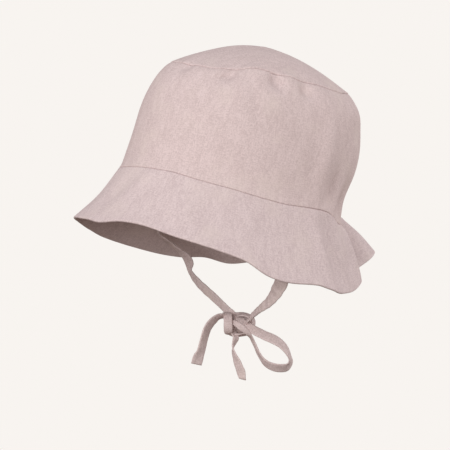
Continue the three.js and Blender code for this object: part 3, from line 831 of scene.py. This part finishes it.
def add_stage():
    """A pale floor that rises into a round pale wall."""
    profile = [(FLOOR_RADIUS, FLOOR_HEIGHT)]
    for turn in np.linspace(FLOOR_FIRST_TURN, math.pi / 2, FLOOR_ROWS):
        out, up = FLOOR_CURVE * math.sin(turn), FLOOR_CURVE * (1 - math.cos(turn))
        profile.append((FLOOR_RADIUS + out, FLOOR_HEIGHT + up))
    profile.append((FLOOR_RADIUS + FLOOR_CURVE, WALL_TOP))
    turns = [2 * math.pi * column / FLOOR_COLUMNS for column in range(FLOOR_COLUMNS)]
    points = [(r * math.cos(turn), r * math.sin(turn), z) for r, z in profile for turn in turns]
    faces = [tuple(range(FLOOR_COLUMNS))]
    for row in range(len(profile) - 1):
        for column in range(FLOOR_COLUMNS):
            beside = (column + 1) % FLOOR_COLUMNS
            low, high = row * FLOOR_COLUMNS, (row + 1) * FLOOR_COLUMNS
            faces.append((low + column, low + beside, high + beside, high + column))
    floor = new_mesh("floor", points, faces)
    material = bpy.data.materials.new("pale_floor")
    material.use_nodes = True
    nodes, links = material.node_tree.nodes, material.node_tree.links
    nodes.clear()
    glow = nodes.new("ShaderNodeEmission")
    glow.inputs["Color"].default_value = FLOOR_COLOUR
    output = nodes.new("ShaderNodeOutputMaterial")
    links.new(glow.outputs["Emission"], output.inputs["Surface"])
    floor.data.materials.append(material)
    floor.visible_diffuse = False
    floor.visible_glossy = False
    floor.visible_shadow = False


def add_world():
    """Soft studio light: brightest at eye level, weaker from above, warm and dim from below."""
    world = bpy.data.worlds.new("world")
    world.use_nodes = True
    nodes, links = world.node_tree.nodes, world.node_tree.links
    place = nodes.new("ShaderNodeTexCoord")
    split = nodes.new("ShaderNodeSeparateXYZ")
    links.new(place.outputs["Generated"], split.inputs["Vector"])
    height = nodes.new("ShaderNodeMapRange")
    height.inputs["From Min"].default_value = -1
    height.inputs["From Max"].default_value = 1
    links.new(split.outputs["Z"], height.inputs["Value"])
    ramp = nodes.new("ShaderNodeValToRGB")
    ramp.color_ramp.elements[0].position = WORLD_LIGHT[0][0]
    ramp.color_ramp.elements[0].color = WORLD_LIGHT[0][1]
    ramp.color_ramp.elements[1].position = WORLD_LIGHT[-1][0]
    ramp.color_ramp.elements[1].color = WORLD_LIGHT[-1][1]
    for at, colour in WORLD_LIGHT[1:-1]:
        ramp.color_ramp.elements.new(at).color = colour
    links.new(height.outputs["Result"], ramp.inputs["Fac"])
    background = nodes["Background"]
    links.new(ramp.outputs["Color"], background.inputs["Color"])
    background.inputs["Strength"].default_value = WORLD_STRENGTH
    bpy.context.scene.world = world


def wrinkle_lift(angle, level):
    """Height of the fine wrinkles, puckers and folds of WRINKLES."""
    lift = 0
    for at, spread, middle, tall, lean, height in WRINKLES:
        across = turn_between(at + lean * (level - middle), angle)
        lift = lift + height * bell(across, spread) * bell(level - middle, tall)
    return lift


def seam_fade(level, seam):
    """From 0 at a seam to 1 away from it, so that the cloth on its two sides meets there."""
    return 1 - bell(level - seam, SEAM_REACH)


def band_relief(angle, level):
    soft = UNEVEN_LIFT * waves(angle, level, *BAND_WAVES) * seam_fade(level, 1)
    groove = SEAM_GROOVE * bell(level - 1, SEAM_SPREAD)
    return (soft + wrinkle_lift(angle, level)) * seam_fade(level, 0) - groove


def tip_relief(angle, level):
    fade = np.clip((2 - level) * TIP_FADE, 0, 1)
    soft = UNEVEN_LIFT * waves(angle, level, *TIP_WAVES) * seam_fade(level, 1)
    return (soft + wrinkle_lift(angle, level)) * fade


def brim_relief(angle, level):
    soft = UNEVEN_LIFT * waves(angle, level, *BRIM_WAVES)
    return (soft + wrinkle_lift(angle, level)) * seam_fade(level, 0)


def add_hat():
    crown = linen("crown_linen", *CROWN_COLOURS)
    brim = linen("brim_linen", *BRIM_COLOURS)
    band_piece = ring_piece(
        "crown_band_cloth", *BAND_LEVELS, CROWN_HEIGHT, CROWN_WALL, BAND_STEP, BAND_COLUMNS, band_relief
    )
    brim_piece = ring_piece(
        "brim_cloth", *BRIM_LEVELS, BRIM_WIDTH, BRIM_WALL, BRIM_STEP, BRIM_COLUMNS, brim_relief
    )
    top_piece = tip_piece("crown_tip_cloth", TIP_LOW, tip_relief)
    for piece, node, material, slot in (
        (band_piece, "crown_band", crown, "crown_linen"),
        (brim_piece, "brim", brim, "brim_linen"),
        (top_piece, "crown_tip", crown, "crown_linen"),
    ):
        piece.data.materials.append(material)
        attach(piece, "root")
        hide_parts(node)


def knot_core(material):
    """The crumpled cloth in the middle of the knot, behind the turns that show."""
    chance = np.random.default_rng(KNOT_SEED)
    lumps = [
        (chance.integers(*LUMPS_ROUND), chance.integers(*LUMPS_UP), chance.uniform(*WAVE_STARTS))
        for _ in range(KNOT_LUMPS)
    ]
    points = []
    for ring in range(1, KNOT_RINGS):
        rise = math.pi * ring / KNOT_RINGS
        for step in range(KNOT_STEPS):
            spin = 2 * math.pi * step / KNOT_STEPS
            lumpiness = sum(math.cos(a * spin + b * rise + c) for a, b, c in lumps)
            swell = 1 + KNOT_SWELL * lumpiness * math.sin(rise)
            local = Vector((
                KNOT_CORE[0] * math.sin(rise) * math.cos(spin),
                KNOT_CORE[1] * math.sin(rise) * math.sin(spin),
                -KNOT_CORE[2] * math.cos(rise),
            )) * swell
            points.append((KNOT_CENTRE + KNOT_TURN @ (local + KNOT_CORE_PLACE)) * MM)
    for end in (-1, 1):
        pole = Vector((0, 0, end * KNOT_CORE[2]))
        points.append((KNOT_CENTRE + KNOT_TURN @ (pole + KNOT_CORE_PLACE)) * MM)
    low, high = len(points) - 2, len(points) - 1
    top_ring = (KNOT_RINGS - 2) * KNOT_STEPS
    faces = []
    for step in range(KNOT_STEPS):
        beside = (step + 1) % KNOT_STEPS
        faces.append((low, beside, step))
        faces.append((high, top_ring + step, top_ring + beside))
        for ring in range(KNOT_RINGS - 2):
            start = ring * KNOT_STEPS
            above = start + KNOT_STEPS
            faces.append((start + step, start + beside, above + beside, above + step))
    uvs = [(points[at][0], points[at][2]) for face in faces for at in face]
    piece = new_mesh("knot_core", points, faces, uvs)
    piece.data.materials.append(material)
    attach(piece, "root")
    return piece


def add_ties():
    tape = linen("tape_linen", *TAPE_COLOURS)
    left_route = [inside_brim(*row) for row in LEFT_TOP] + below_hem(LEFT_TIE)
    left_route += in_knot(LEFT_INTO_LOOP) + below_hem(LOOP)
    left_route += in_knot(LEFT_OUT_OF_LOOP) + below_hem(LEFT_END)
    right_route = [inside_brim(*row) for row in RIGHT_TOP] + below_hem(RIGHT_TIE)
    right_route += in_knot(RIGHT_ROUND_KNOT) + below_hem(RIGHT_END)
    left, left_line = tape_piece("left_tape", left_route, LEFT_SEED, END_SLANT)
    right, right_line = tape_piece("right_tape", right_route, RIGHT_SEED)
    core = knot_core(tape)
    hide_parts("bow_knot")
    for piece, line, nodes in (
        (left, left_line, ("left_tie", "bow_loop", "left_tie_end")),
        (right, right_line, ("right_tie", "right_tie_end")),
    ):
        piece.data.materials.append(tape)
        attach(piece, "root")
        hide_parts(*nodes)


add_camera()
add_ties()
add_hat()
add_stage()
add_world()
for light in LIGHTS:
    add_area_light(*light)
bpy.context.scene.view_settings.view_transform = "Standard"
